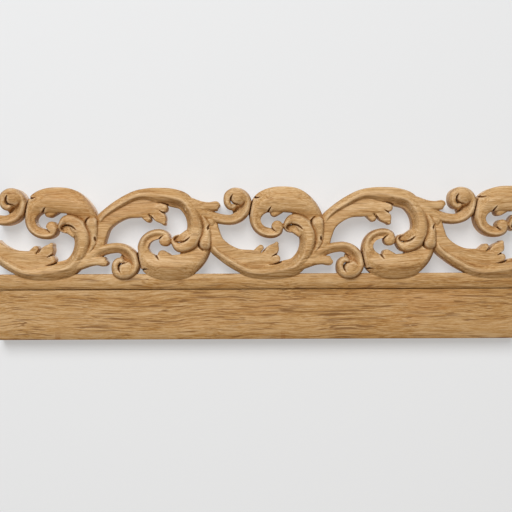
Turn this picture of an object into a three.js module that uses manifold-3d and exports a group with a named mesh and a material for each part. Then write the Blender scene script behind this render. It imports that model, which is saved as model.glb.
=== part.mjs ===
// Acanthus leaf moulding: a pierced running scroll of acanthus leaves, carved in one piece of oak
// with the plain rail below it. Millimetres. +X runs along the moulding, +Z is up, -Y faces the room.
// The origin is on the flat back, halfway along the moulding and halfway up the rail.
import * as THREE from "three";
import { mergeVertices } from "three/addons/utils/BufferGeometryUtils.js";
import Module from "manifold-3d";

const wasm = await Module();
wasm.setup();

// Driving dimensions of the board
const mouldingLength = 338; // between the two square end cuts
const mouldingThickness = 20; // flat back to the highest crest of the carving
const railHeight = 43;
const railThickness = 12; // flat back to the plain face
const beadHeight = 9.8; // the rounded fillet along the top of the rail
const beadRise = 2.4; // how far the fillet stands in front of the plain face
const railArris = 0.8; // the broken edge along the bottom of the rail

// Driving dimensions of the scroll
const scrollHeight = 61.4; // foot of one leaf bowl to the top of the next arch
const scrollLap = 4.2; // how far the scroll comes down in front of the rail
const repeatLength = 147.6; // one bowl and the arch after it
const middleBowl = -30.4; // where the middle bowl starts, from the middle of the moulding
const backSpread = 0.5; // every wall leans out by this much towards the back
const drillRadius = 0.9; // the drilled eye beside each bud
const drillDepth = 9;
const overrun = 1; // every piece is drawn this far past the board's back, which cuts it off flat

// The scroll is drawn on a grid of parts: 93 to its height, 112 to half a repeat and 20 to its depth.
const partsHigh = 93;
const partsLong = 112;
const partsDeep = 20;
const partX = repeatLength / 2 / partsLong;
const partZ = scrollHeight / partsHigh;
const partSize = (partX + partZ) / 2;
const partDepth = mouldingThickness / partsDeep;
const scrollMiddle = railHeight / 2 - scrollLap + scrollHeight / 2;

// Sections across a leaf, from its left edge, -1, to its right edge, 1, looking the way it grows.
// Each point is [place, how far below the crest in parts].
const rounded = [[-1, 4], [-0.7, 1], [0, 0], [0.7, 1], [1, 4]];
const nearlyFlat = [[-1, 1.8], [-0.6, 0], [0.6, 0], [1, 1.8]];
const dished = [[-1, 1.2], [-0.3, 1.8], [0.4, 1], [1, 0]];
const channel = [[-1, 4.4], [-0.3, 4], [0, 0.8], [0.55, 0], [1, 2.6]];
const gentle = [[-1, 1.6], [-0.5, 2], [0, 1.4], [0.6, 0.2], [1, 2.4]];

// The vine's section, from a narrow ridge to a ridge with a scoop inside it and then to the round stem
const ridge = [[-1, 3.6], [-0.75, 0], [-0.2, 1], [0.4, 3.2], [1, 5.6]];
const scoopStart = [[-1, 5.4], [-0.6, 2.4], [0, 0.1], [0.5, 2], [1, 5.6]];
const scooped = [[-1, 9], [-0.5, 7], [0.1, 0], [0.5, 1.3], [1, 5.6]];
const stemScoop = [[-1, 7.6], [-0.6, 3.4], [0, 0], [0.6, 1], [1, 4.4]];
const stem = [[-1, 4.6], [-0.66, 1.2], [0, 0], [0.66, 1], [1, 4.2]];

// The arch leaf's section, from its root to the edge that is turned over, and then to the rolled tail
const archRoot = [[-1, 2.6], [-0.5, 0.6], [0.1, 0], [0.6, 0.6], [1, 2.8]];
const turnedOver = [[-1, 3.6], [-0.3, 4.4], [0.1, 3.6], [0.3, 0], [1, 5]];
const archTail = [[-1, 4.4], [-0.4, 4], [0, 0.8], [0.55, 0], [1, 2.8]];

// A closed body from rings of points that all have the same count, with a flat end on the first and
// the last. Each end is a fan from the ring's first point, which lies on the back.
function loft(rings) {
  const count = rings[0].length;
  const faces = [];
  for (let i = 0; i + 1 < rings.length; i++) {
    for (let j = 0; j < count; j++) {
      const a = i * count + j;
      const b = i * count + ((j + 1) % count);
      faces.push(a, b, b + count, a, b + count, a + count);
    }
  }
  const last = (rings.length - 1) * count;
  for (let j = 1; j + 1 < count; j++) {
    faces.push(0, j + 1, j);
    faces.push(last, last + j, last + j + 1);
  }
  const places = rings.flat().flatMap((point) => point.toArray());
  return new THREE.BufferGeometry()
    .setAttribute("position", new THREE.Float32BufferAttribute(places, 3))
    .setIndex(faces);
}

// The smooth curve through a row of numbers, evenly spaced, at a share of its length from 0 to 1
function smoothAt(values, share) {
  const place = share * (values.length - 1);
  const i = Math.min(Math.floor(place), values.length - 2);
  const before = i > 0 ? values[i - 1] : 2 * values[0] - values[1];
  const after = i + 2 < values.length ? values[i + 2] : 2 * values[i + 1] - values[i];
  const leaving = (values[i + 1] - before) / 2;
  const arriving = (after - values[i]) / 2;
  const rise = values[i + 1] - values[i];
  const bend = 3 * rise - 2 * leaving - arriving;
  const twist = leaving + arriving - 2 * rise;
  const w = place - i;
  return values[i] + w * (leaving + w * (bend + w * twist));
}

// A leaf, stem or rim that stands on the back. line holds [x, z, half width, crest height] in parts
// at a few places along its middle. The section changes evenly from the first one named to the last.
// A round end is a half circle as wide as the leaf, and sinks towards its tip.
function leaf({ line, sections, steps, roundEnd = false }) {
  const [xs, zs, widths, crests] = [0, 1, 2, 3].map((n) => line.map((row) => row[n]));
  const middle = (share) =>
    new THREE.Vector2(smoothAt(xs, share) * partX, smoothAt(zs, share) * partZ);

  const ring = (centre, along, halfWidth, crest, share) => {
    const left = new THREE.Vector2(-along.y, along.x);
    const point = (place, height, spread) => {
      const at = centre.clone().addScaledVector(left, -place * (halfWidth + spread));
      return new THREE.Vector3(at.x, -height, at.y);
    };
    const foot = (place) => point(place, -overrun, backSpread);
    const stage = share * (sections.length - 1);
    const first = sections[Math.floor(stage)];
    const second = sections[Math.ceil(stage)];
    const w = stage - Math.floor(stage);
    const top = first.map(([place, drop], k) => {
      const [nextPlace, nextDrop] = second[k];
      const fall = THREE.MathUtils.lerp(drop, nextDrop, w);
      return point(THREE.MathUtils.lerp(place, nextPlace, w), (crest - fall) * partDepth, 0);
    });
    return [foot(-1), ...top, foot(1)];
  };

  const rings = [];
  const nudge = 0.001;
  for (let i = 0; i <= steps; i++) {
    const share = i / steps;
    const ahead = middle(Math.min(1, share + nudge));
    const along = ahead.sub(middle(Math.max(0, share - nudge))).normalize();
    const halfWidth = smoothAt(widths, share) * partSize;
    rings.push(ring(middle(share), along, halfWidth, smoothAt(crests, share), share));
  }
  if (roundEnd) {
    const along = middle(1).sub(middle(1 - nudge)).normalize();
    const reach = widths.at(-1) * partSize;
    const turns = 2;
    const nearlyClosed = 0.96; // of the quarter turn, so that the last ring keeps a width
    const tipSink = 2.4; // parts, at the full quarter turn
    for (let i = 1; i <= turns; i++) {
      const angle = (i / turns) * (Math.PI / 2) * nearlyClosed;
      const centre = middle(1).addScaledVector(along, reach * Math.sin(angle));
      const sink = tipSink * (1 - Math.cos(angle));
      rings.push(ring(centre, along, reach * Math.cos(angle), crests.at(-1) - sink, 1));
    }
  }
  return loft(rings);
}

// A flat-topped round button, turned about the line that faces the room, its edge eased. In parts.
function button({ x, z, radius, crest }) {
  const rim = radius * partSize;
  const top = crest * partDepth;
  const profile = [
    [0, -overrun],
    [rim + backSpread, -overrun],
    [rim, top - 2 * partDepth],
    [rim * 0.75, top - 0.2 * partDepth],
    [0, top],
  ];
  return new THREE.LatheGeometry(profile.map(([r, y]) => new THREE.Vector2(r, y)), 11)
    .rotateX(Math.PI)
    .translate(x * partX, 0, z * partZ);
}

// The vine: the rim of the bowl, round its foot, up as the stem and over into the hook
const vine = () =>
  leaf({
    line: [
      [0.5, -7, 3.5, 15.6],
      [3.6, -15.4, 4.2, 17.2],
      [9.5, -21.6, 4, 17.6],
      [22, -31, 3.4, 17.8],
      [37, -38.8, 3.2, 18],
      [50, -40.8, 4.2, 18.2],
      [62, -38.8, 6.9, 18.4],
      [74, -36, 8.9, 18.8],
      [85.9, -32, 8.6, 19.2],
      [93.4, -22.4, 7.6, 19.6],
      [97, -12, 7.7, 19.8],
      [97.4, -3, 8.3, 20],
      [94.6, 5, 8.2, 20],
      [88.6, 12, 5.9, 19.6],
      [81.2, 13.4, 5, 18.6],
      [76.4, 9.6, 3.2, 17],
      [75.4, 4.6, 1.6, 15.4],
    ],
    sections: [ridge, ridge, scoopStart, scooped, stemScoop, stem, stem],
    steps: 20,
  });

// The cupped floor under the hook
const hookFloor = () =>
  leaf({
    line: [[74.6, 5.6, 2.6, 12], [80, 4.6, 3.8, 10], [87, 4.6, 5.4, 10]],
    sections: [nearlyFlat],
    steps: 2,
  });

// The leaf that lies in the bowl, its upper edge free
const blade = () =>
  leaf({
    line: [
      [3.2, 13, 4.6, 16],
      [4.4, 4, 5, 16.4],
      [8, -8.2, 6.2, 16.4],
      [16, -18, 8.2, 16.4],
      [27, -25, 10, 16.2],
      [40, -28.6, 12.2, 16.2],
      [51, -29.6, 11.4, 16],
      [60, -30, 8.4, 15.6],
    ],
    sections: [dished],
    steps: 6,
  });

// The three round lobes at the leaf's tip
const bladeLobes = () =>
  [
    [[44, -22, 2.6, 14.4], [48, -17.6, 3.2, 15], [51, -14.4, 3.1, 15]],
    [[52, -28, 4, 14.4], [59, -20.6, 6.2, 15], [64.4, -13.6, 5, 15.2]],
    [[54, -30.6, 3.2, 14.4], [61, -27.6, 3.8, 15], [66.8, -25.6, 3.8, 15.2]],
  ].map((line) => leaf({ line, sections: [nearlyFlat], steps: 1, roundEnd: true }));

// The arch: the broad leaf that rises from the stem, its outer edge turned over, and rolls in to
// the button
const arch = () =>
  leaf({
    line: [
      [110.5, -4, 5, 16.6],
      [107.8, 9, 6.8, 17.8],
      [102.5, 20.3, 8.4, 18.2],
      [95.3, 27.4, 10.2, 18.6],
      [85.8, 32.2, 12.2, 18.8],
      [74.6, 33.8, 12.6, 18.8],
      [62.5, 33.4, 12, 18.6],
      [53, 29.9, 10.9, 18.2],
      [47.2, 22.8, 8, 17.6],
      [45.3, 14.6, 5.8, 17.4],
      [47.2, 7.6, 5.3, 17.4],
      [51.7, 2.9, 5.2, 17.2],
      [57.6, 0.6, 5.2, 17],
      [63.6, 0.2, 4.8, 16.8],
      [69, 2, 4, 16.6],
      [71.4, 6.4, 2, 16],
    ],
    sections: [archRoot, turnedOver, turnedOver, turnedOver, archTail, archTail, archTail, archTail],
    steps: 17,
  });

// The small lobe that hangs from the leaf into its opening
const archLobe = () =>
  leaf({
    line: [[76, 27.4, 3, 15], [69.6, 24, 4.2, 15.4], [64.4, 20.9, 4.4, 15.4]],
    sections: [nearlyFlat],
    steps: 1,
    roundEnd: true,
  });

// The button that the arch rolls in to
const archButton = () => button({ x: 67.3, z: 6.9, radius: 5.8, crest: 17.2 });

// A thin web, set back, that holds the button to the hook
const buttonWeb = () =>
  leaf({
    line: [[67, 6, 3.4, 11], [72, 7, 3, 10], [78, 9.6, 3, 11]],
    sections: [nearlyFlat],
    steps: 2,
  });

// The bud between the stem and the next bowl
const bud = () =>
  leaf({
    line: [[106.8, -20, 2.4, 17.6], [107.6, -8, 3.6, 18.6], [107, 2, 4.4, 19], [105, 9.4, 4.6, 18.6]],
    sections: [rounded],
    steps: 3,
    roundEnd: true,
  });

// The side leaf that rolls up into the small volute
const sideVolute = () =>
  leaf({
    line: [
      [-12, 26, 7, 17.2],
      [-4, 20.6, 6, 17.2],
      [5, 16.4, 5.2, 17],
      [14, 14.2, 5.1, 16.8],
      [22.6, 14, 5.2, 16.8],
      [30, 17.6, 5.8, 17],
      [34.8, 24, 6, 17.2],
      [36.4, 31.2, 5.6, 17.4],
      [35, 36.4, 5.2, 17.6],
      [30.4, 39.8, 5.2, 17.8],
      [24, 40.4, 5, 17.8],
      [18.4, 36.6, 4.6, 17.4],
      [17.2, 31.4, 3, 16.6],
    ],
    sections: [rounded, gentle, channel, channel, rounded],
    steps: 11,
  });

// The button that fills the volute
const voluteButton = () => button({ x: 21.6, z: 31.4, radius: 7.6, crest: 17.2 });

// The lobe beside it, cut off short above the opening
const sideLobe = () =>
  leaf({
    line: [[-16, 31, 4, 17], [-8, 29.6, 4.6, 17], [0, 27.6, 4.8, 16.6], [6.6, 27, 4.6, 16.2]],
    sections: [rounded],
    steps: 2,
    roundEnd: true,
  });

// Where the side leaf and the lobe leave the stem
const sideRoot = () =>
  leaf({
    line: [[-18, 26, 9, 17.6], [-8, 24, 9, 17], [1, 20, 6.4, 15.4]],
    sections: [nearlyFlat],
    steps: 2,
  });

const drilledEye = () =>
  new THREE.CylinderGeometry(drillRadius, drillRadius, drillDepth * 2, 8)
    .scale(1, 1, 1.8)
    .translate(110.4 * partX, -mouldingThickness, -5.2 * partZ);

function solidOf(geometry) {
  const bare = geometry.clone();
  bare.deleteAttribute("normal");
  bare.deleteAttribute("uv");
  const merged = mergeVertices(bare, 1e-4);
  const vertProperties = new Float32Array(merged.attributes.position.array);
  const triVerts = new Uint32Array(merged.index.array);
  return new wasm.Manifold(new wasm.Mesh({ numProp: 3, vertProperties, triVerts }));
}

function geometryOf(solid) {
  const { vertProperties, triVerts } = solid.getMesh();
  return new THREE.BufferGeometry()
    .setAttribute("position", new THREE.BufferAttribute(vertProperties, 3))
    .setIndex(new THREE.BufferAttribute(triVerts, 1));
}

const joined = (geometries) => geometries.map(solidOf).reduce((whole, piece) => whole.add(piece));

function bowl() {
  const pieces = [
    vine(),
    hookFloor(),
    blade(),
    ...bladeLobes(),
    arch(),
    archLobe(),
    archButton(),
    buttonWeb(),
    bud(),
    sideVolute(),
    voluteButton(),
    sideLobe(),
    sideRoot(),
  ];
  return geometryOf(joined(pieces).subtract(solidOf(drilledEye())));
}

// Every second bowl is turned upside down and becomes the arch.
function placed(geometry, x, upsideDown) {
  const copy = geometry.clone().scale(1, 1, upsideDown ? -1 : 1).translate(x, 0, scrollMiddle);
  if (upsideDown) {
    const corners = copy.index.array;
    for (let i = 0; i < corners.length; i += 3) {
      [corners[i], corners[i + 1]] = [corners[i + 1], corners[i]];
    }
  }
  return copy;
}

// As many bowls as reach the moulding's length
function scroll() {
  const one = bowl();
  one.computeBoundingBox();
  const { min, max } = one.boundingBox;
  const halfRepeat = repeatLength / 2;
  const from = Math.ceil((-mouldingLength / 2 - max.x - middleBowl) / halfRepeat);
  const to = Math.floor((mouldingLength / 2 - min.x - middleBowl) / halfRepeat);
  const copies = [];
  for (let n = from; n <= to; n++) {
    copies.push(placed(one, middleBowl + n * halfRepeat, n % 2 !== 0));
  }
  return joined(copies);
}

// The rail: a plain face with a rounded fillet along its top edge
function rail() {
  const top = railHeight / 2;
  const beadFoot = top - beadHeight;
  const beadFront = railThickness + beadRise;
  const beadEdge = beadRise * 0.6; // the fillet falls this far back at its two edges
  const outline = new THREE.Shape();
  outline.moveTo(-overrun, -top);
  outline.lineTo(railThickness - railArris, -top);
  outline.lineTo(railThickness, -top + railArris);
  outline.lineTo(railThickness, beadFoot);
  outline.lineTo(beadFront - beadEdge, beadFoot);
  outline.quadraticCurveTo(beadFront + beadEdge, (top + beadFoot) / 2, beadFront - beadEdge, top);
  outline.lineTo(-overrun, top);
  const length = mouldingLength + 2 * overrun;
  return new THREE.ExtrudeGeometry(outline, { depth: length, bevelEnabled: false, curveSegments: 6 })
    .translate(0, 0, -length / 2)
    .applyMatrix4(new THREE.Matrix4().makeBasis(
      new THREE.Vector3(0, -1, 0),
      new THREE.Vector3(0, 0, 1),
      new THREE.Vector3(-1, 0, 0),
    ));
}

// The board that it is all cut from, square at both ends
function board() {
  const bottom = -railHeight / 2;
  const top = scrollMiddle + scrollHeight / 2;
  return new THREE.BoxGeometry(mouldingLength, mouldingThickness, top - bottom)
    .translate(0, -mouldingThickness / 2, (top + bottom) / 2);
}

const carving = scroll().add(solidOf(rail())).intersect(solidOf(board()));
const oak = new THREE.MeshStandardMaterial({ color: "#c49a67", roughness: 0.6, metalness: 0 });
const moulding = new THREE.Mesh(geometryOf(carving), oak);
moulding.name = "acanthus_moulding";

const model = new THREE.Group();
model.add(moulding);

export default model;
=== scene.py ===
import math

import bpy
import numpy as np
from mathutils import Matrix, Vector
from mathutils.geometry import delaunay_2d_cdt


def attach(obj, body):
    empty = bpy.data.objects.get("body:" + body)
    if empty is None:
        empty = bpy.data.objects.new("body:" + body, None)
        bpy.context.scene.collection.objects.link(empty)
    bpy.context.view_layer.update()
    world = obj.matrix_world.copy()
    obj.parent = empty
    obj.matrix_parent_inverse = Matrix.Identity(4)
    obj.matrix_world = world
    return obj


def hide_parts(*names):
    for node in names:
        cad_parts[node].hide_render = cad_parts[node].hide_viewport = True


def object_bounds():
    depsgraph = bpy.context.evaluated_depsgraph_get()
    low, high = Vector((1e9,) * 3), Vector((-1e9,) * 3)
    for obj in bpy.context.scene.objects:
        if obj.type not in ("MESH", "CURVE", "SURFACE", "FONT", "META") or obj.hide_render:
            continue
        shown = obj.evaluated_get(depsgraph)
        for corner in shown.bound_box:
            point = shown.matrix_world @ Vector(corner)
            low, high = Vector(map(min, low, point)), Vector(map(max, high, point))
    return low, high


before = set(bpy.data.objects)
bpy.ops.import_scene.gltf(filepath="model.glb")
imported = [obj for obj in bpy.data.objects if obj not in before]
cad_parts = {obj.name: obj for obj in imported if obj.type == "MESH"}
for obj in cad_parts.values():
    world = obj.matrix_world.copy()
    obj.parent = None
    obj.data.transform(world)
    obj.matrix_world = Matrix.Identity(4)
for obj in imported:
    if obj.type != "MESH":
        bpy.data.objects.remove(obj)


def plainSize(bounds):
    # The two corners of a box as plain lists.
    return [list(map(float, corner)) for corner in bounds]


sizeOfFrame = plainSize(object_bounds())
print("frame loaded")

# Everything below is in mm until a mesh is made. x runs along the moulding, z is up, and a height is
# measured from the flat back towards the viewer. The board fills the frame's box.
mm = 0.001
lowCorner, highCorner = [[round(value / mm, 2) for value in corner] for corner in sizeOfFrame]
board = dict(
    left=lowCorner[0], right=highCorner[0], bottom=lowCorner[2], top=highCorner[2],
    depth=-lowCorner[1], railTop=21.5, thinnest=1.0,
)

# A bowl of the scroll is drawn in parts, u to the right of its start and v up from the scroll's
# middle. The half repeat is 112 parts long and the scroll 93 high, and every second bowl is turned
# upside down. The leaves of a bowl lie from lead parts before its start to reach parts after it, and
# where there is none yet the height is nothing, far below the back.
halfRepeat = 73.8
scrollHeight = 61.4
scroll = dict(
    partX=halfRepeat / 112, partZ=scrollHeight / 93, middleBowl=-30.4, middle=48.0,
    first=-3, last=3, lead=24, reach=130, halfHeight=52, leafMargin=5, cutMargin=1,
    nothing=-50.0, blend=0.3, sink=1.6, ease=0.5, wall=3.2,
)
partSize = (scroll["partX"] + scroll["partZ"]) / 2

# How a line is followed: points to a station, places looked up at once, how far a bend may shorten
# or stretch what lies beside it, and the narrowest cut
follow = dict(steps=18, atOnce=60000, shortest=0.3, longest=4, narrowest=0.05)


def curveThrough(stations):
    # Catmull-Rom curve through rows of numbers, its ends carried straight on, with station numbers.
    s = np.asarray(stations, float)
    s = np.vstack([2 * s[0] - s[1], s, 2 * s[-1] - s[-2]])
    count = len(s) - 3
    t = np.linspace(0, count, count * follow["steps"] + 1)
    i = np.minimum(t.astype(int), count - 1)
    w = (t - i)[:, None]
    a, b, c, d = s[i], s[i + 1], s[i + 2], s[i + 3]
    bend = 2 * a - 5 * b + 4 * c - d
    twist = 3 * (b - c) + d - a
    return b + 0.5 * w * (c - a + w * (bend + w * twist)), t


def placeBeside(line, u, v):
    # Nearest place on a line for each point: its station, the distance to the left of it, the distance
    # past an end, whether that is the start, and the line's other columns there. The station is that
    # of the nearest point of the curve, plus a step along its tangent that allows for the bend.
    points, t = curveThrough(line)
    cu, cv = points[:, 0], points[:, 1]
    tu, tv = np.gradient(cu, t), np.gradient(cv, t)
    speed = np.hypot(tu, tv)
    curl = (tu * np.gradient(tv, t) - tv * np.gradient(tu, t)) / speed ** 3
    near = np.empty(u.shape, int)
    for k in range(0, len(u), follow["atOnce"]):
        part = slice(k, k + follow["atOnce"])
        near[part] = ((u[part, None] - cu) ** 2 + (v[part, None] - cv) ** 2).argmin(1)
    du, dv = u - cu[near], v - cv[near]
    ahead = (du * tu[near] + dv * tv[near]) / speed[near]
    left = (dv * tu[near] - du * tv[near]) / speed[near]
    stretch = np.clip(1 - curl[near] * left, follow["shortest"], follow["longest"])
    station = t[near] + ahead / speed[near] / stretch
    last = len(line) - 1
    past = np.maximum(-station * speed[0], (station - last) * speed[-1])
    values = [np.interp(station, t, points[:, k]) for k in range(2, points.shape[1])]
    return np.clip(station, 0, last), left, np.maximum(past, 0), station <= 0, values


def sectionCurve(places, falls, fine):
    # Monotone cubic through the points of a section, so that it never overshoots them.
    x, y = np.asarray(places, float), np.asarray(falls, float)
    h = np.diff(x)
    d = np.diff(y) / h
    slope = np.zeros(len(x))
    slope[0], slope[-1] = d[0], d[-1]
    for n in range(1, len(x) - 1):
        if d[n - 1] * d[n] > 0:
            w1, w2 = 2 * h[n] + h[n - 1], h[n] + 2 * h[n - 1]
            slope[n] = (w1 + w2) / (w1 / d[n - 1] + w2 / d[n])
    i = np.clip(np.searchsorted(x, fine) - 1, 0, len(x) - 2)
    t = (fine - x[i]) / h[i]
    start = (1 + 2 * t) * (1 - t) ** 2 * y[i] + t * (1 - t) ** 2 * h[i] * slope[i]
    return start + t * t * (3 - 2 * t) * y[i + 1] + t * t * (t - 1) * h[i] * slope[i + 1]


# Where a section's falls are given, from its left edge to its right one, and its fine steps
sectionPlaces = (-1, -0.75, -0.4, 0, 0.4, 0.75, 1)
sectionSteps = 80


def fallAcross(sections, share, place):
    # Fall below the crest at a share of the length and a place from -1, left, to 1, right. The
    # sections are spaced evenly along the length and change smoothly from one to the next.
    fine = np.linspace(-1, 1, sectionSteps + 1)
    rows = np.array([sectionCurve(sectionPlaces, row, fine) for row in sections])
    s = share * (len(rows) - 1)
    i = np.clip(s.astype(int), 0, max(len(rows) - 2, 0))
    j = np.minimum(i + 1, len(rows) - 1)
    w = s - i
    w = w * w * (3 - 2 * w)
    p = (place + 1) * sectionSteps / 2
    k = np.clip(p.astype(int), 0, sectionSteps - 1)
    f = p - k
    first = rows[i, k] * (1 - f) + rows[i, k + 1] * f
    second = rows[j, k] * (1 - f) + rows[j, k + 1] * f
    return first * (1 - w) + second * w


def bandAt(form, u, v):
    # Distance inside the edge and height of a leaf or stem: crest less the fall across it, less a steep
    # wall outside its edge. A round end is a half circle that sinks towards its tip with the square of
    # the distance, and a bite is a circle taken out of the edge.
    station, left, past, atStart, (half, crest) = placeBeside(form["line"], u, v)
    isRound = ~atStart & form.get("roundEnd", False)
    blunt = np.maximum(np.abs(left), past + half)
    reach = np.where(past > 0, np.where(isRound, np.hypot(left, past), blunt), np.abs(left))
    inside = (half - reach) * partSize
    for cu, cv, radius in form.get("bites", ()):
        inside = np.minimum(inside, (np.hypot(u - cu, v - cv) - radius) * partSize)
    share = station / (len(form["line"]) - 1)
    fall = fallAcross(form["sections"], share, np.clip(-left / half, -1, 1))
    sink = form.get("sink", scroll["sink"]) * np.where(isRound, np.clip(past / half, 0, 1) ** 2, 0)
    return inside, crest - fall - sink - scroll["wall"] * np.maximum(-inside, 0)


def buttonAt(form, u, v):
    # Distance inside the edge and height of a round button, domed by a power of the radius.
    cu, cv, radius, crest = form["button"]
    away = np.hypot(u - cu, v - cv)
    inside = (radius - away) * partSize
    dome = form["dome"] * np.clip(away / radius, 0, 1) ** form["power"]
    return inside, crest - dome - scroll["wall"] * np.maximum(-inside, 0)


def cutAt(line, u, v):
    # Depth of a V cut: deepest on its line and nothing at its half width.
    _, left, past, _, (half, deep) = placeBeside(line, u, v)
    share = np.clip(np.hypot(left, past) / np.maximum(half, follow["narrowest"]), 0, 1)
    return deep * (1 - share)


def smoothMax(a, b, k):
    # The larger of two heights, plus a quarter of k where they are equal and nothing once they are k
    # apart, with a square in between.
    return np.maximum(a, b) + k / 4 * np.maximum(0, 1 - np.abs(a - b) / k) ** 2


def nearLine(line, u, v, margin):
    # Which points lie in the box around a line, its widest half width and a margin beyond it.
    line = np.asarray(line, float)
    reach = line[:, 2].max() + margin
    low, high = line[:, :2].min(0) - reach, line[:, :2].max(0) + reach
    return (u > low[0]) & (u < high[0]) & (v > low[1]) & (v < high[1])


# The vine: the rim of the bowl, round its foot, up as the stem and over into the hook. A line's rows
# are [u, v, half width, crest height]; a section is the fall from its left edge to its right one.
# A form flows into those before it over a step of blend, and a round end goes down by sink.
vine = dict(
    line=[
        [0.5, -7, 3.2, 15.6], [3.6, -15.4, 4.0, 17.2], [9.5, -21.6, 3.9, 17.8], [22, -30.2, 4.4, 18.2],
        [37, -37.9, 4.5, 18.4], [50, -39.8, 5.4, 18.6], [62, -38.2, 7.5, 18.6], [74, -36, 8.8, 18.8],
        [85.9, -32, 8.5, 19.2], [93.4, -22.4, 7.5, 19.6], [97, -12, 7.5, 19.8], [97.4, -3, 8.1, 20],
        [94.6, 5, 8.0, 20], [88.6, 12, 5.8, 19.6], [81.6, 13.7, 4.9, 18.8], [76.6, 10.4, 2.8, 17.8],
        [75.1, 6, 1.3, 16.6], [77, 2.9, 0.9, 15.8], [81.5, 1.5, 0.9, 15.8],
    ],
    sections=[
        (1.8, 0.9, 0.1, 0.4, 1.6, 2.8, 4.0), (2.2, 1.1, 0.1, 0.4, 1.7, 2.8, 3.8),
        (2.4, 1.4, 0.3, 0.3, 1.7, 2.8, 3.6), (7.4, 6.4, 2.6, 0, 1.2, 2.8, 4.4),
        (5.8, 4.2, 1.3, 0.1, 0.1, 1.2, 3.4), (2.8, 1.1, 0.4, 0, 0.2, 0.9, 2.6),
        (2.8, 1.0, 0.3, 0, 0.4, 1.4, 3.6), (3.0, 1.2, 0.3, 0, 0.4, 1.4, 3.6),
    ],
)
hookPad = dict(
    line=[[77, 5.6, 2.4, 12.2], [80.6, 5.2, 3.4, 14.2], [85.4, 3.6, 4.0, 16.6], [91, 0, 4.2, 17.6]],
    sections=[(0.6, 0.1, 0, 0, 0, 0.2, 0.8)], blend=1.6,
)

# The leaf that lies in the bowl and its three lobes
blade = dict(
    line=[
        [1.6, 15, 2.2, 14.4], [3.4, 10, 4.2, 15.6], [4.6, 3, 5.0, 16.4], [8, -8.2, 6.1, 16.6],
        [16, -18, 8.1, 16.4], [27, -25, 9.9, 16.3], [40, -28.6, 12.1, 16.2], [51, -29.2, 11.3, 16.1],
        [59, -26.6, 6.6, 15.8],
    ],
    sections=[
        (1.4, 0.3, 0, 0, 0, 0.1, 0.2), (0.9, 0.2, 0.2, 0.3, 0.4, 0.4, 0.4),
        (0.7, 0.2, 0.3, 0.6, 0.9, 1.0, 1.0), (0.6, 0.2, 0.3, 0.5, 0.8, 0.9, 0.9),
    ],
    roundEnd=True, sink=0.4,
)
bladeLobes = [
    dict(
        line=[[42, -24, 3.0, 12.6], [47.6, -18, 3.4, 15.2], [51, -14.3, 2.9, 15.9]],
        sections=[(0.2, 0, 0, 0, 0, 0, 0.2), (0.9, 0.2, 0, 0, 0, 0.2, 1.0)], roundEnd=True, blend=1.4,
    ),
    dict(
        line=[
            [49, -32, 4.4, 12.4], [58.2, -22, 6.8, 15.2], [64.0, -15, 5.4, 16.2],
            [66.8, -10.2, 1.9, 16.5],
        ],
        sections=[(0.2, 0, 0, 0, 0, 0, 0.2), (1.2, 0.4, 0.1, 0, 0, 0.2, 0.9)], roundEnd=True, blend=1.4,
    ),
    dict(
        line=[[51, -29, 3.6, 12.6], [60.2, -27.4, 4.4, 15.2], [66.8, -25.2, 3.8, 15.7]],
        sections=[(0.2, 0, 0, 0, 0, 0.1, 0.4), (0.9, 0.3, 0, 0, 0.1, 0.5, 1.4)], roundEnd=True, blend=1.4,
    ),
]

# The arch leaf, its outer edge turned over, that rolls in to its button
arch = dict(
    line=[
        [110.5, -4, 4.9, 14.0], [107.8, 9, 6.7, 14.6], [102.5, 20.3, 8.3, 17.2],
        [95.3, 27.4, 10.1, 19.2], [85.8, 32.2, 12.1, 19.8], [74.6, 33.8, 12.5, 19.9],
        [62.5, 33.4, 11.9, 19.8], [53, 29.9, 10.8, 19.0], [47.2, 22.8, 7.9, 17.6],
        [45.3, 14.6, 5.7, 17.4], [47.2, 7.6, 5.2, 17.4], [51.7, 2.9, 5.1, 17.2], [57.6, 0.6, 5.1, 17],
        [63.6, 0.2, 4.7, 17], [68.6, 2, 3.9, 17], [70.8, 6.4, 2.4, 16.8],
    ],
    sections=[
        (2.4, 0.8, 0.2, 0, 0.3, 1.2, 3.0), (2.4, 1.5, 1.0, 0.5, 0.2, 1.6, 4.4),
        (2.8, 1.5, 0.6, 0.2, 1.8, 3.5, 5.0), (2.8, 1.5, 0.6, 0.2, 1.8, 3.5, 5.0),
        (1.8, 1.3, 0.9, 0.3, 0.9, 2.8, 5.0), (1.2, 2.2, 2.2, 0.7, 0, 1.5, 4.2),
        (1.2, 2.0, 1.8, 0.5, 0, 1.4, 4.0), (1.0, 0.5, 0.2, 0.0, 0.2, 1.2, 3.2),
    ],
)
archLobe = dict(
    line=[[77, 28, 3, 14.6], [70.2, 24.2, 4.4, 16.2], [64.6, 20.9, 4.4, 16.3]],
    sections=[(1.0, 0.3, 0, 0, 0, 0.3, 1.0)], roundEnd=True, blend=0.8,
)
archButton = dict(button=[67.3, 6.9, 5.7, 17.6], dome=1.8, power=3, blend=2.4)
buttonWeb = dict(
    line=[[67, 6, 3.2, 10.5], [72, 7, 2.6, 10.5], [77, 8.6, 2.2, 11.5]],
    sections=[(0.8, 0.2, 0, 0, 0, 0.2, 0.8)],
)
hookWeb = dict(
    line=[[82.5, 19.8, 0.8, 10], [88, 18.8, 1.5, 13], [94, 16.4, 1.7, 14.4], [99.4, 12, 2.0, 15.2]],
    sections=[(0.8, 0.2, 0, 0, 0, 0.2, 0.8)],
)

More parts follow.
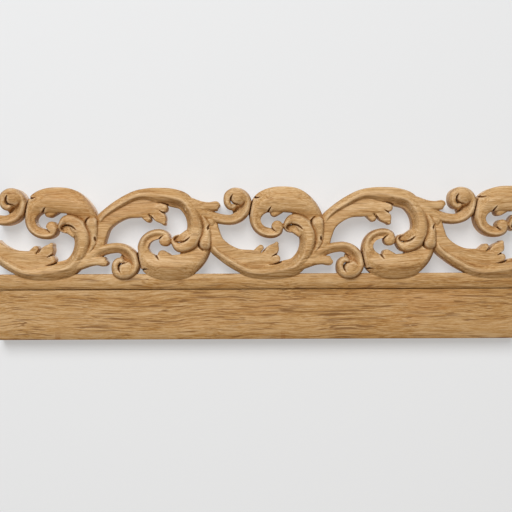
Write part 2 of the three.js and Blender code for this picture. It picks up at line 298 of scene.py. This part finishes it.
# The bud between the stem and the next bowl, the side leaf with its volute, and the short lobe
bud = dict(
    line=[
        [97, -26, 1.2, 16.6], [103.6, -20, 2.2, 17.2], [108.6, -9, 3.2, 17.9], [109.4, 0, 4.0, 18.8],
        [108, 9.6, 5.8, 19.8],
    ],
    sections=[(2.0, 0.8, 0.2, 0, 0.2, 0.8, 2.0), (2.6, 1.2, 0.3, 0, 0.3, 1.2, 2.6)],
    roundEnd=True, sink=2.2, blend=1.5,
)
budRoot = dict(button=[112.2, -11.8, 5.2, 17.2], dome=1.2, power=2, blend=3)
volute = dict(
    line=[
        [-12, 26, 6.9, 17.2], [-4, 20.6, 5.9, 17.2], [5, 16.4, 5.1, 17], [14, 14.2, 5.0, 16.8],
        [22.6, 14, 5.1, 16.8], [30, 17.6, 5.7, 17], [34.8, 24, 5.9, 17.2], [36.4, 31.2, 5.5, 17.4],
        [35, 36.4, 5.1, 18.0], [30.4, 39.8, 5.1, 18.3], [24.4, 40.9, 4.7, 18.2],
        [19.3, 38.0, 4.3, 17.8], [17.6, 33.2, 3.4, 17.8], [18.6, 29, 3.2, 17.6],
        [21.6, 26.6, 3.0, 17.2], [24.4, 27, 2.4, 16.8],
    ],
    sections=[
        (3.0, 1.4, 0.4, 0, 0.2, 1.0, 2.6), (3.6, 2.9, 1.8, 0.4, 0, 0.7, 2.6),
        (6.8, 6.0, 4.0, 1.2, 0, 0.9, 3.2), (1.6, 0.8, 0.3, 0, 0.3, 1.6, 4.4),
        (1.2, 0.5, 0.1, 0, 0.6, 1.9, 3.4), (2.0, 0.9, 0.2, 0, 0.2, 1.0, 2.6),
    ],
    roundEnd=True, blend=0.8,
)
volutePad = dict(
    line=[[23.4, 21.6, 2.0, 8.6], [27, 22.6, 3.6, 10], [30.4, 25.6, 4, 10.6], [31, 30, 3.4, 11.5]],
    sections=[(0.6, 0.1, 0, 0, 0, 0.1, 0.6)], blend=3,
)
voluteBulb = dict(button=[28.6, 36.4, 7.8, 18.9], dome=2.2, power=2.2, blend=1.6)
sideLobe = dict(
    line=[
        [-28, 34.4, 4.4, 17.4], [-17, 30.6, 4.8, 17.4], [-8, 28.0, 4.4, 17.2], [0, 27.0, 4.4, 17.2],
        [6, 27.6, 4.8, 17.2],
    ],
    sections=[(2.0, 0.6, 0.1, 0, 0.2, 0.8, 2.4)], roundEnd=True, sink=1.2, bites=[(15.0, 22.0, 7.0)],
    blend=1.2,
)
sideRoot = dict(
    line=[[-24, 29, 7, 17.8], [-12, 25.4, 7.4, 17.4], [-2, 22, 5.6, 15.6]],
    sections=[(2.0, 0.6, 0.1, 0, 0.1, 0.6, 2.0)], blend=2.0,
)
leaves = [
    vine, hookPad, blade, *bladeLobes, arch, archLobe, archButton, buttonWeb, hookWeb, sideRoot,
    volute, volutePad, voluteBulb, sideLobe, budRoot, bud,
]

# Knife cuts, as rows of [u, v, half width, depth]
cuts = [
    [[56.4, -12.2, 1.5, 9], [55.4, -15.2, 1.0, 5], [53.8, -18.2, 0.5, 1.2]],
    [[69.8, -19.2, 1.4, 9], [66, -21.0, 0.9, 5], [62, -23.0, 0.5, 1.0]],
    [[71.0, -28.6, 1.0, 3.5], [66, -30.3, 0.9, 2.8], [59.5, -31.2, 0.5, 0.6]],
    [[58.2, 21.0, 1.1, 8], [59.6, 23.6, 0.9, 5], [61.6, 26.2, 0.4, 1.0]],
    [[60.8, 6.2, 0.9, 7], [63.2, 3.8, 0.8, 4], [65.8, 1.7, 0.4, 1.0]],
    [[112.5, -22, 0.4, 1.5], [117, -22.2, 0.9, 5], [121.5, -22.9, 1.2, 8]],
    [[23.4, 38.6, 0.4, 1.2], [21.9, 36, 1.0, 4.5], [21.6, 32.9, 1.1, 5], [23.2, 30.6, 0.9, 4],
     [26, 29.4, 0.9, 3.4], [28.8, 28.7, 0.9, 2.6], [31.8, 27, 0.4, 0.8]],
    [[77.4, 7.8, 0.6, 1.5], [81.5, 8.9, 0.9, 2.5], [86, 8.2, 1.1, 4], [89.6, 6.2, 1.0, 3.5],
     [92.6, 3.4, 0.4, 1]],
    [[44.5, 35.9, 1.1, 8], [47.5, 35.4, 0.9, 4.5], [51.5, 36.0, 0.4, 0.8]],
    [[43.2, 33.5, 0.5, 3], [41.5, 28, 0.8, 6], [40.3, 22, 0.9, 8], [39.4, 17, 1.1, 10],
     [38.4, 13, 1.5, 12]],
    [[86, -27.2, 0.5, 0.2], [92, -26.6, 0.9, 0.5], [100, -23.6, 1.0, 0.7], [106.6, -17.6, 1.0, 0.8],
     [112, -9.6, 0.9, 0.8], [114, -3, 0.9, 1.6], [114.2, 4, 1.0, 3], [113.6, 12, 1.2, 4]],
    [[102.6, -21.4, 0.5, 0.2], [105.2, -10, 0.8, 0.4], [104.6, 0, 0.8, 0.8], [102.2, 6, 0.9, 2.0],
     [100.8, 11.0, 1.1, 4.5], [102.2, 14.6, 0.9, 2.2], [105.4, 16.8, 0.6, 0.8]],
    [[111.6, -7.6, 0.8, 3], [110.7, -5.4, 1.1, 6], [110.4, -3.4, 0.7, 3]],
]


def bowlAt(u, v):
    # Distance inside the outline and height of one bowl: the highest of its leaves, less its cuts.
    inside = np.full(u.shape, scroll["nothing"])
    height = np.full(u.shape, scroll["nothing"])
    for form in leaves:
        isButton = "button" in form
        here = nearLine([form["button"]] if isButton else form["line"], u, v, scroll["leafMargin"])
        f, h = (buttonAt if isButton else bandAt)(form, u[here], v[here])
        inside[here] = np.maximum(inside[here], f)
        height[here] = smoothMax(height[here], h, form.get("blend", scroll["blend"]))
    for line in cuts:
        here = nearLine(line, u, v, scroll["cutMargin"])
        height[here] -= cutAt(line, u[here], v[here])
    return inside, height


# The rail: a plain face, a rounded fillet along its top with a narrow V quirk below it, and a broken
# arris along its bottom. The fillet's crown and its edges are shares of its width and its rise.
railShape = dict(
    face=12.0, filletFoot=11.7, filletRise=2.4, filletEdge=0.4, crownAt=0.6, crownFall=0.5,
    quirk=0.8, quirkBelow=0.35, quirkHalf=0.4, arris=0.3,
)


def railAt(z):
    # Distance inside the rail's top edge and height. The fillet rises above the plain face on one
    # parabola to its crown, and falls a little to its top edge on another.
    r = railShape
    across = np.clip((z - r["filletFoot"]) / (board["railTop"] - r["filletFoot"]), 0, 1)
    beyond = across / r["crownAt"] - 1
    crown = 1 - np.where(beyond < 0, 1, r["crownFall"]) * beyond ** 2
    fillet = r["filletRise"] * (r["filletEdge"] + (1 - r["filletEdge"]) * crown)
    height = r["face"] + np.where(z > r["filletFoot"], fillet, 0)
    fromQuirk = np.abs(z - r["filletFoot"] + r["quirkBelow"])
    height -= r["quirk"] * np.clip(1 - fromQuirk / r["quirkHalf"], 0, 1)
    height -= np.clip(r["arris"] - (z - board["bottom"]), 0, r["arris"])
    past = np.maximum(z - board["railTop"], 0)
    return board["railTop"] - z, height - scroll["wall"] * past


# The small unevenness of hand carving: its reach in parts, and sine waves sideways and up, each with
# the mm to a radian along x and z and its start
drift = dict(
    reach=0.16, sideways=[(17.3, 23.1, 0.0), (41.7, -12.9, 2.0)],
    up=[(13.1, -19.7, 1.1), (29.3, 15.3, 4.0)],
)


def driftAt(x, z, waves):
    # A slow drift in parts: the reach times the sum of the sine waves.
    return drift["reach"] * sum(np.sin(x / alongX + z / alongZ + start) for alongX, alongZ, start in waves)


def carvingAt(x, z):
    # Distance inside the moulding's outline and its height, at any points of the board: the rail and
    # the bowls, blended, with a quarter round along the outline.
    inside, height = railAt(z)
    du, dv = driftAt(x, z, drift["sideways"]), driftAt(x, z, drift["up"])
    for n in range(scroll["first"], scroll["last"] + 1):
        u = (x - scroll["middleBowl"] - n * halfRepeat) / scroll["partX"] + du
        v = (z - scroll["middle"]) / scroll["partZ"] * (-1 if n % 2 else 1) + dv
        here = (u > -scroll["lead"]) & (u < scroll["reach"]) & (np.abs(v) < scroll["halfHeight"])
        if here.any():
            f, h = bowlAt(u[here], v[here])
            inside[here] = np.maximum(inside[here], f)
            height[here] = smoothMax(height[here], h, scroll["blend"])
    eased = np.clip(inside / scroll["ease"], 0, 1)
    height = height - scroll["ease"] * (1 - np.sqrt(1 - (1 - eased) ** 2))
    return inside, np.clip(height, board["thinnest"], board["depth"])


# The grid that the face is laid on: even columns, and rows that are close where there is carving.
# fromEnd is the share of a grid edge that a crossing keeps from its ends, tolerance the distance at
# which points of the back are one, and sharpFrom the angle in degrees of a sharp edge.
grid = dict(
    columns=752, step=0.45, plainRows=5, plainTo=0.75, lip=0.001, filletFrom=0.5, filletRows=7,
    carvedFrom=16.2, fromEnd=0.1, tolerance=1e-7, hollowSteps=(2, 4), sharpFrom=50,
)


def gridLines():
    # Column and row places. Below the scroll the rows follow the rail's section.
    b, r = board, railShape
    xs = np.linspace(b["left"], b["right"], grid["columns"] + 1)
    foot = r["filletFoot"]
    plain = np.linspace(b["bottom"] + r["arris"], foot - grid["plainTo"], grid["plainRows"])
    quirk = [foot - r["quirkBelow"], foot - grid["lip"], foot + grid["lip"]]
    fillet = np.linspace(foot + grid["filletFrom"], grid["carvedFrom"], grid["filletRows"])
    count = int(round((b["top"] - grid["carvedFrom"]) / grid["step"]))
    carved = np.linspace(grid["carvedFrom"], b["top"], count + 1)[1:]
    return xs, np.concatenate([[b["bottom"]], plain, quirk, fillet, carved])


# Corners 0 to 3 and crossed edges 4 to 7 of the part of a cell that lies inside, anticlockwise, by
# which of its corners do: 1, 2, 4 and 8 added up
allInside = 15
cellShapes = {
    1: [(0, 4, 7)], 2: [(4, 1, 5)], 3: [(0, 1, 5, 7)], 4: [(5, 2, 6)], 5: [(0, 4, 7), (5, 2, 6)],
    6: [(4, 1, 2, 6)], 7: [(0, 1, 2, 6, 7)], 8: [(7, 6, 3)], 9: [(0, 4, 6, 3)],
    10: [(4, 1, 5), (7, 6, 3)], 11: [(0, 1, 5, 6, 3)], 12: [(7, 5, 2, 3)], 13: [(0, 4, 5, 2, 3)],
    14: [(4, 1, 2, 3, 7)],
}


def outlinedFace(xs, zs, inside):
    # Points, whole squares and part triangles of the grid where inside is above 0. Each grid edge that
    # the outline crosses gets a point where a straight line between its two values would be 0.
    rows, columns = inside.shape
    gx, gz = np.meshgrid(xs, zs)
    index = np.arange(rows * columns).reshape(rows, columns)

    def crossing(a, b):
        fa, fb = inside.ravel()[a], inside.ravel()[b]
        crossed = (fa > 0) != (fb > 0)
        share = np.clip(fa / np.where(crossed, fa - fb, 1), grid["fromEnd"], 1 - grid["fromEnd"])
        px = gx.ravel()[a] * (1 - share) + gx.ravel()[b] * share
        pz = gz.ravel()[a] * (1 - share) + gz.ravel()[b] * share
        return crossed, px, pz

    level = crossing(index[:, :-1], index[:, 1:])
    upright = crossing(index[:-1], index[1:])
    levelId = np.where(level[0], rows * columns + np.cumsum(level[0]).reshape(level[0].shape) - 1, -1)
    count = rows * columns + int(level[0].sum())
    uprightId = np.where(upright[0], count + np.cumsum(upright[0]).reshape(upright[0].shape) - 1, -1)
    points = np.vstack([
        np.column_stack([gx.ravel(), gz.ravel()]),
        np.column_stack([level[1][level[0]], level[2][level[0]]]),
        np.column_stack([upright[1][upright[0]], upright[2][upright[0]]]),
    ])
    ids = np.stack([
        index[:-1, :-1], index[:-1, 1:], index[1:, 1:], index[1:, :-1],
        levelId[:-1], uprightId[:, 1:], levelId[1:], uprightId[:, :-1],
    ], -1).reshape(-1, 8)
    into = (inside > 0).astype(int)
    case = (into[:-1, :-1] + 2 * into[:-1, 1:] + 4 * into[1:, 1:] + 8 * into[1:, :-1]).ravel()
    partial = []
    for number, shapes in cellShapes.items():
        for shape in shapes:
            corners = ids[case == number][:, shape]
            for k in range(1, len(shape) - 1):
                partial.append(corners[:, [0, k, k + 1]])
    return points, ids[case == allInside][:, :4], np.vstack(partial)


def splitSquares(squares, height):
    # Two triangles a square, parted along the diagonal whose ends are nearer in height.
    a, b, c, d = squares.T
    along = np.abs(height[a] - height[c]) <= np.abs(height[b] - height[d])
    first = np.where(along[:, None], np.stack([a, b, c], -1), np.stack([a, b, d], -1))
    second = np.where(along[:, None], np.stack([a, c, d], -1), np.stack([b, c, d], -1))
    return np.vstack([first, second])


def openEdges(triangles, count):
    # Edges, in their triangle's direction, that no other triangle has the other way round. An edge
    # has a number made of its two points.
    edges = np.vstack([triangles[:, [0, 1]], triangles[:, [1, 2]], triangles[:, [2, 0]]])
    key = edges[:, 0] * count + edges[:, 1]
    back = edges[:, 1] * count + edges[:, 0]
    return edges[~np.isin(key, back)]


def filledOutline(flat, edges):
    # Triangles between outline points, anticlockwise. A triangle with a side on the outline is inside
    # if that side runs the outline's way, and any other one is what its neighbours are.
    vectors = [Vector(p) for p in flat.tolist()]
    result = delaunay_2d_cdt(vectors, edges.tolist(), [], 0, grid["tolerance"], True)
    _, _, faces, origin, _, _ = result
    faces = np.array([found[0] for found in origin])[np.array(faces)]
    a, b, c = flat[faces[:, 0]], flat[faces[:, 1]], flat[faces[:, 2]]
    turn = (b[:, 0] - a[:, 0]) * (c[:, 1] - a[:, 1]) - (b[:, 1] - a[:, 1]) * (c[:, 0] - a[:, 0])
    faces = np.where((turn < 0)[:, None], faces[:, ::-1], faces)
    count = len(flat)
    rim = edges[:, 0] * count + edges[:, 1]
    following = np.roll(faces, -1, 1)
    ahead, back = faces * count + following, following * count + faces
    forward, backward = np.isin(ahead, rim), np.isin(back, rim)
    order = np.argsort(ahead, None)
    match = order[np.searchsorted(ahead.ravel(), back, sorter=order) % ahead.size]
    joined = (ahead.ravel()[match] == back) & ~forward & ~backward
    neighbours = np.where(joined, match // 3, np.arange(len(faces))[:, None])
    state = np.where(forward.any(1), 1, np.where(backward.any(1), -1, 0))  # inside 1, outside -1
    for _ in range(len(faces)):
        spread = np.where(state == 0, np.sign(state[neighbours].sum(1)), state)
        if (spread == state).all():
            break
        state = spread
    return faces[state > 0]


def hollowness(height, inside):
    # How far each grid point lies below the points a few steps away, in mm, the nearer ones counting
    # more. A point outside the outline counts as level.
    total = np.zeros_like(height)
    for step in grid["hollowSteps"]:
        for axis in (0, 1):
            for shift in (step, -step):
                near = np.roll(height, shift, axis)
                total += np.where(np.roll(inside, shift, axis) > 0, near - height, 0) / step
    return total / 2


def meshObject(name, points, triangles, hollow):
    # An object from arrays of points in mm and triangles, smooth but for its sharp edges, with how
    # hollow each point lies as an attribute.
    mesh = bpy.data.meshes.new(name)
    mesh.vertices.add(len(points))
    mesh.vertices.foreach_set("co", (points * mm).astype(np.float32).ravel())
    mesh.loops.add(triangles.size)
    mesh.loops.foreach_set("vertex_index", triangles.astype(np.int32).ravel())
    mesh.polygons.add(len(triangles))
    mesh.polygons.foreach_set("loop_start", np.arange(0, triangles.size, 3, dtype=np.int32))
    mesh.update(calc_edges=True)
    mesh.validate()
    mesh.polygons.foreach_set("use_smooth", np.ones(len(mesh.polygons), bool))
    mesh.set_sharp_from_angle(angle=math.radians(grid["sharpFrom"]))
    values = mesh.attributes.new("hollow", "FLOAT", "POINT").data
    values.foreach_set("value", hollow.astype(np.float32))
    piece = bpy.data.objects.new(name, mesh)
    bpy.context.scene.collection.objects.link(piece)
    return piece


def makeMoulding():
    # The face from the grid, walls from its outline straight back, and a flat back inside the outline.
    xs, zs = gridLines()
    gx, gz = np.meshgrid(xs, zs)
    inside, height = carvingAt(gx.ravel(), gz.ravel())
    print("face: grid of", len(xs), "by", len(zs))
    points, squares, partial = outlinedFace(xs, zs, inside.reshape(gx.shape))
    added = points[gx.size:]
    hollow = hollowness(height.reshape(gx.shape), inside.reshape(gx.shape)).ravel()
    hollow = np.concatenate([hollow, np.zeros(len(added))])
    height = np.concatenate([height, carvingAt(added[:, 0], added[:, 1])[1]])
    triangles = np.vstack([splitSquares(squares, height), partial])
    used, triangles = np.unique(triangles, return_inverse=True)
    triangles = triangles.reshape(-1, 3)
    points, height, hollow = points[used], height[used], hollow[used]
    front = np.column_stack([points[:, 0], -height, points[:, 1]])
    rim = openEdges(triangles, len(front))
    rimPoints = np.unique(rim)
    place = np.full(len(front), -1)
    place[rimPoints] = np.arange(len(rimPoints))
    flat = points[rimPoints]
    filled = filledOutline(flat, place[rim])[:, ::-1] + len(front)
    behind = np.column_stack([flat[:, 0], np.zeros(len(flat)), flat[:, 1]])
    one, two = rim.T
    low, lowTwo = place[one] + len(front), place[two] + len(front)
    walls = np.vstack([np.column_stack([two, one, low]), np.column_stack([two, low, lowTwo])])
    print("moulding:", len(triangles), "face,", len(walls), "wall and", len(filled), "back triangles")
    whole = np.vstack([triangles, walls, filled])
    print("open edges:", len(openEdges(whole, len(front) + len(behind))))
    hollow = np.concatenate([hollow, np.zeros(len(behind))])
    return meshObject("oak_moulding", np.vstack([front, behind]), whole, hollow)


moulding = makeMoulding()


class Wire:
    # A node's output. A sum, difference or product of wires and numbers adds a Math node.
    def __init__(self, tree, socket):
        self.tree, self.socket = tree, socket

    def node(self, kind, settings, sockets, output=0):
        # Any node: its settings first, a ramp's stops among them, then values or wires by socket.
        made = self.tree.nodes.new(kind)
        for name, value in settings.items():
            if name == "stops":
                ramp = made.color_ramp
                ramp.elements[1].position = value[-1][0]
                for place, _ in value[1:-1]:
                    ramp.elements.new(place)
                ramp.elements[0].position = value[0][0]
                for element, (_, colour) in zip(ramp.elements, value):
                    element.color = colour
            else:
                setattr(made, name, value)
        for key, value in sockets.items():
            if isinstance(value, Wire):
                self.tree.links.new(value.socket, made.inputs[key])
            else:
                made.inputs[key].default_value = value
        return Wire(self.tree, made.outputs[output] if made.outputs else None)

    def maths(self, operation, first, second):
        return self.node("ShaderNodeMath", dict(operation=operation), {0: first, 1: second})

    def __add__(self, other):
        return self.maths("ADD", self, other)

    def __radd__(self, other):
        return self.maths("ADD", other, self)

    def __sub__(self, other):
        return self.maths("SUBTRACT", self, other)

    def __rsub__(self, other):
        return self.maths("SUBTRACT", other, self)

    def __mul__(self, other):
        return self.maths("MULTIPLY", self, other)

    def __rmul__(self, other):
        return self.maths("MULTIPLY", other, self)

    def between(self, low, high):
        # 0 at low, 1 at high, smooth in between.
        settings = dict(interpolation_type="SMOOTHSTEP")
        return self.node("ShaderNodeMapRange", settings, {0: self, 1: low, 2: high})

    def mixedWith(self, colour, share):
        # This colour with another laid over it by a share.
        return self.node("ShaderNodeMix", dict(data_type="RGBA"), {0: share, 6: self, 7: colour}, 2)

    def scaled(self, by):
        # This vector times another, number by number.
        return self.node("ShaderNodeVectorMath", dict(operation="MULTIPLY"), {0: self, 1: by})

    def moved(self, by):
        # This vector plus another.
        return self.node("ShaderNodeVectorMath", dict(operation="ADD"), {0: self, 1: by})

    def noise(self, scale, detail, rough, output=0):
        # Noise with so many lumps to the mm along x, y and z.
        sockets = {"Vector": self.scaled(scale), "Scale": 1.0, "Detail": detail, "Roughness": rough}
        return self.node("ShaderNodeTexNoise", {}, sockets, output)


def emptyMaterial(name):
    # A material without nodes, and a wire to start from.
    material = bpy.data.materials.new(name)
    material.use_nodes = True
    material.node_tree.nodes.clear()
    return material, Wire(material.node_tree, None)


# Each noise has its lumps to the mm along x, y and z, its detail and its roughness.
oak = dict(
    # the tone: its ramp, its parts, how far the grain waves in mm and a shift of the year rings
    ramp=[(0.42, (0.71, 0.505, 0.29, 1)), (0.5, (0.53, 0.325, 0.14, 1)), (0.58, (0.33, 0.15, 0.037, 1))],
    waves=((0.014, 0.02, 0.03), 2, 0.5), rings=((0.004, 0.13, 0.17), 3, 0.55),
    streaks=((0.035, 0.85, 1.0), 2, 0.6), fibres=((0.075, 2.0, 2.6), 3, 0.7),
    flecks=((0.4, 1.4, 1.8), 2, 0.5), waviness=10.0, ringShift=(0, 0, 31),
    ringPart=0.23, streakPart=0.19, fibrePart=0.46, fleckPart=0.12,
    # the pores: short dashes, most of them in the early wood of a ring, and long hairs in patches
    dashes=((0.07, 1.8, 2.5), 0, 0.5), dashFrom=(0.63, 0.69), early=(0.4, 0.58), lateDashes=0.3,
    hairs=((0.012, 0.3, 0.42), 2, 0.6), hairWidth=(0.0001, 0.0016),
    patches=((0.03, 0.5, 0.7), 1, 0.5), patchFrom=(0.5, 0.58), patchShift=(0, 40, 0),
    # the plain rail below, with more contrast and pores than the carving above
    carvedFrom=(8, 30), carvedContrast=0.72, railContrast=0.4, carvedPores=0.5, railPores=0.5,
    # colours laid over the tone and their shares, painted shade in the hollows and a painted highlight on
    # the ridges among them
    rail=(0.35, 0.188, 0.055, 1), railShare=0.42, pore=(0.18, 0.08, 0.024, 1), poreShare=0.8,
    red=(0.50, 0.235, 0.08, 1), redShare=0.22, redder=((0.012, 0.03, 0.045), 2, 0.5),
    # after the red blush: painted shade for the hollows, then a painted highlight for the ridges
    redFrom=(0.52, 0.74), cut=(0.23, 0.078, 0.01, 1), cutShare=0.62, cutFrom=(0.12, 1.5),
    edge=(0.80, 0.63, 0.42, 1), edgeShare=0.36, edgeFrom=(0.1, 0.9),
    # the sawn back
    sawn=(0.60, 0.42, 0.24, 1), sawnShare=0.45, sawnFrom=(-0.3, -0.05),
    sawMarks=((0.9, 0, 0.012), 2, 0.6),
    # the finish: roughness, and the relief of fibres, streaks, pores and saw marks in metres
    rough=0.4, fibreRough=0.14, poreRough=0.15, sawnRough=0.12, specular=0.18,
    fibreRise=0.4, streakRise=0.2, poreSink=0.9, sawRise=1.6, relief=0.35, reliefDepth=0.00012,
)


def oakMaterial():
    # Grain along x: slow bands for the year rings, fine fibres, and pores as dark dashes that crowd
    # along the rings. Every lump is far longer along x than across it. Deep places are darkened as
    # painted shade, and edges paled as a painted highlight.
    o = oak
    material, bench = emptyMaterial("oak")
    place = bench.node("ShaderNodeTexCoord", {}, {}, "Object").scaled((1 / mm, 1 / mm, 1 / mm))
    wave = place.noise(*o["waves"], "Color").moved((-0.5, -0.5, -0.5))
    grain = place.moved(wave.scaled((0, o["waviness"], o["waviness"])))
    ring = grain.moved(o["ringShift"]).noise(*o["rings"])
    streak = grain.noise(*o["streaks"])
    fibre = grain.noise(*o["fibres"])
    fleck = grain.noise(*o["flecks"])
    dash = grain.noise(*o["dashes"]).between(*o["dashFrom"])
    bend = grain.noise(*o["hairs"]) - 0.5
    patch = grain.moved(o["patchShift"]).noise(*o["patches"]).between(*o["patchFrom"])
    hair = (1 - (bend * bend).between(*o["hairWidth"])) * patch
    early = ring.between(*o["early"])
    pores = dash.maths("MAXIMUM", dash * (o["lateDashes"] + early * (1 - o["lateDashes"])), hair)
    blush = place.noise(*o["redder"]).between(*o["redFrom"])
    upright = bench.node("ShaderNodeSeparateXYZ", {}, {0: place}, "Z")
    plain = 1 - upright.between(*o["carvedFrom"])
    tone = ring * o["ringPart"] + streak * o["streakPart"] + fibre * o["fibrePart"]
    tone = tone + fleck * o["fleckPart"] - 0.5
    tone = tone * (o["carvedContrast"] + plain * o["railContrast"]) + 0.5
    pores = pores * (o["carvedPores"] + plain * o["railPores"])
    wood = bench.node("ShaderNodeValToRGB", dict(stops=o["ramp"]), {"Fac": tone})
    wood = wood.mixedWith(o["rail"], plain * o["railShare"])
    wood = wood.mixedWith(o["red"], blush * o["redShare"])
    wood = wood.mixedWith(o["pore"], pores * o["poreShare"])
    hollow = bench.node("ShaderNodeAttribute", dict(attribute_name="hollow"), {}, "Fac")
    # Painted shade: places that lie below their neighbours are darkened as if in shadow.
    wood = wood.mixedWith(o["cut"], hollow.between(*o["cutFrom"]) * o["cutShare"])
    # Painted highlight: places that stand above their neighbours are paled as if lit.
    wood = wood.mixedWith(o["edge"], (0 - hollow).between(*o["edgeFrom"]) * o["edgeShare"])
    depth = bench.node("ShaderNodeSeparateXYZ", {}, {0: place}, "Y")
    behind = depth.between(*o["sawnFrom"])
    saw = place.noise(*o["sawMarks"])
    wood = wood.mixedWith(o["sawn"], behind * o["sawnShare"])
    relief = fibre * o["fibreRise"] + streak * o["streakRise"] - pores * o["poreSink"]
    relief = relief + saw * behind * o["sawRise"]
    normal = bench.node("ShaderNodeBump", {}, {
        "Strength": o["relief"], "Distance": o["reliefDepth"], "Height": relief,
    })
    rough = o["rough"] + fibre * o["fibreRough"] + pores * o["poreRough"] + behind * o["sawnRough"]
    surface = bench.node("ShaderNodeBsdfPrincipled", {}, {
        "Base Color": wood, "Roughness": rough, "Normal": normal, "Specular IOR Level": o["specular"],
    })
    bench.node("ShaderNodeOutputMaterial", {}, {"Surface": surface})
    return material


moulding.data.materials.append(oakMaterial())

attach(moulding, "root")
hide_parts("acanthus_moulding")
print("moulding made")

# The plain pale floor, upright behind the moulding. Its glow keeps the shadows on it faint.
sheet = dict(
    reach=2, behind=0.0004, colour=(0.40, 0.408, 0.419, 1), glow=(0.372, 0.380, 0.388, 1),
    rough=0.7, specular=0.2,
)
corners = [(x * sheet["reach"], sheet["behind"], z * sheet["reach"])
           for x, z in ((-1, -1), (1, -1), (1, 1), (-1, 1))]
floorMesh = bpy.data.meshes.new("floor")
floorMesh.from_pydata(corners, [], [(0, 1, 2, 3)])
floor = bpy.data.objects.new("floor", floorMesh)
bpy.context.scene.collection.objects.link(floor)


def sheetMaterial():
    # Plain pale paint in front, and clear from behind and to lamps, so that the moulding's back is
    # lit and can be seen.
    material, bench = emptyMaterial("pale_sheet")
    paint = bench.node("ShaderNodeBsdfPrincipled", {}, {
        "Base Color": sheet["colour"], "Roughness": sheet["rough"],
        "Specular IOR Level": sheet["specular"], "Emission Color": sheet["glow"],
        "Emission Strength": 1.0,
    })
    clear = bench.node("ShaderNodeBsdfTransparent", {}, {})
    behind = bench.node("ShaderNodeNewGeometry", {}, {}, "Backfacing")
    shadow = bench.node("ShaderNodeLightPath", {}, {}, "Is Shadow Ray")
    through = behind.maths("MAXIMUM", behind, shadow)
    both = bench.node("ShaderNodeMixShader", {}, {0: through, 1: paint, 2: clear})
    bench.node("ShaderNodeOutputMaterial", {}, {"Surface": both})
    return material


floorMesh.materials.append(sheetMaterial())
print("sheet made")

# The camera looks straight at the front, from a height a little above the rail. Its picture is width
# metres wide at front metres before the back, and its roll is in degrees.
view = dict(lens=100, width=0.3366, front=0.012, height=0.03308, roll=0.24)
cameraData = bpy.data.cameras.new("camera")
cameraData.lens = view["lens"]
camera = bpy.data.objects.new("camera", cameraData)
distance = view["width"] * view["lens"] / cameraData.sensor_width
camera.location = (0, -view["front"] - distance, view["height"])
camera.rotation_euler = (math.radians(90), math.radians(view["roll"]), 0)
bpy.context.scene.collection.objects.link(camera)
bpy.context.scene.camera = camera
print("camera set")

# A little warm light from all sides, a large key lamp in front at the upper left, a warm reflector at
# the lower right, and a lamp for the back
studio = dict(
    air=(1, 0.88, 0.72, 1), airStrength=0.12, aim=(0, 0, 0.03),
    lamps=dict(
        key=dict(place=(-0.35, -1.62, 0.98), size=1.25, power=39.5, colour=(1, 1, 1)),
        reflector=dict(place=(0.4, -1.5, -0.75), size=1.2, power=4.5, colour=(1, 0.8, 0.58)),
        fromBehind=dict(place=(0.5, 1.5, 0.8), size=1.2, power=16, colour=(1, 1, 1)),
    ),
)
world = bpy.data.worlds.new("studio")
bpy.context.scene.world = world
world.use_nodes = True
air = world.node_tree.nodes["Background"].inputs
air["Color"].default_value = studio["air"]
air["Strength"].default_value = studio["airStrength"]


def softLight(name, place, size, power, colour):
    # A square area light at a place, turned to face the middle of the moulding.
    data = bpy.data.lights.new(name, "AREA")
    data.size = size
    data.energy = power
    data.color = colour
    lamp = bpy.data.objects.new(name, data)
    lamp.location = place
    lamp.rotation_euler = (Vector(studio["aim"]) - Vector(place)).to_track_quat("-Z", "Y").to_euler()
    bpy.context.scene.collection.objects.link(lamp)


for name, lamp in studio["lamps"].items():
    softLight(name, **lamp)
bpy.context.scene.view_settings.view_transform = "Standard"
print("lamps set")
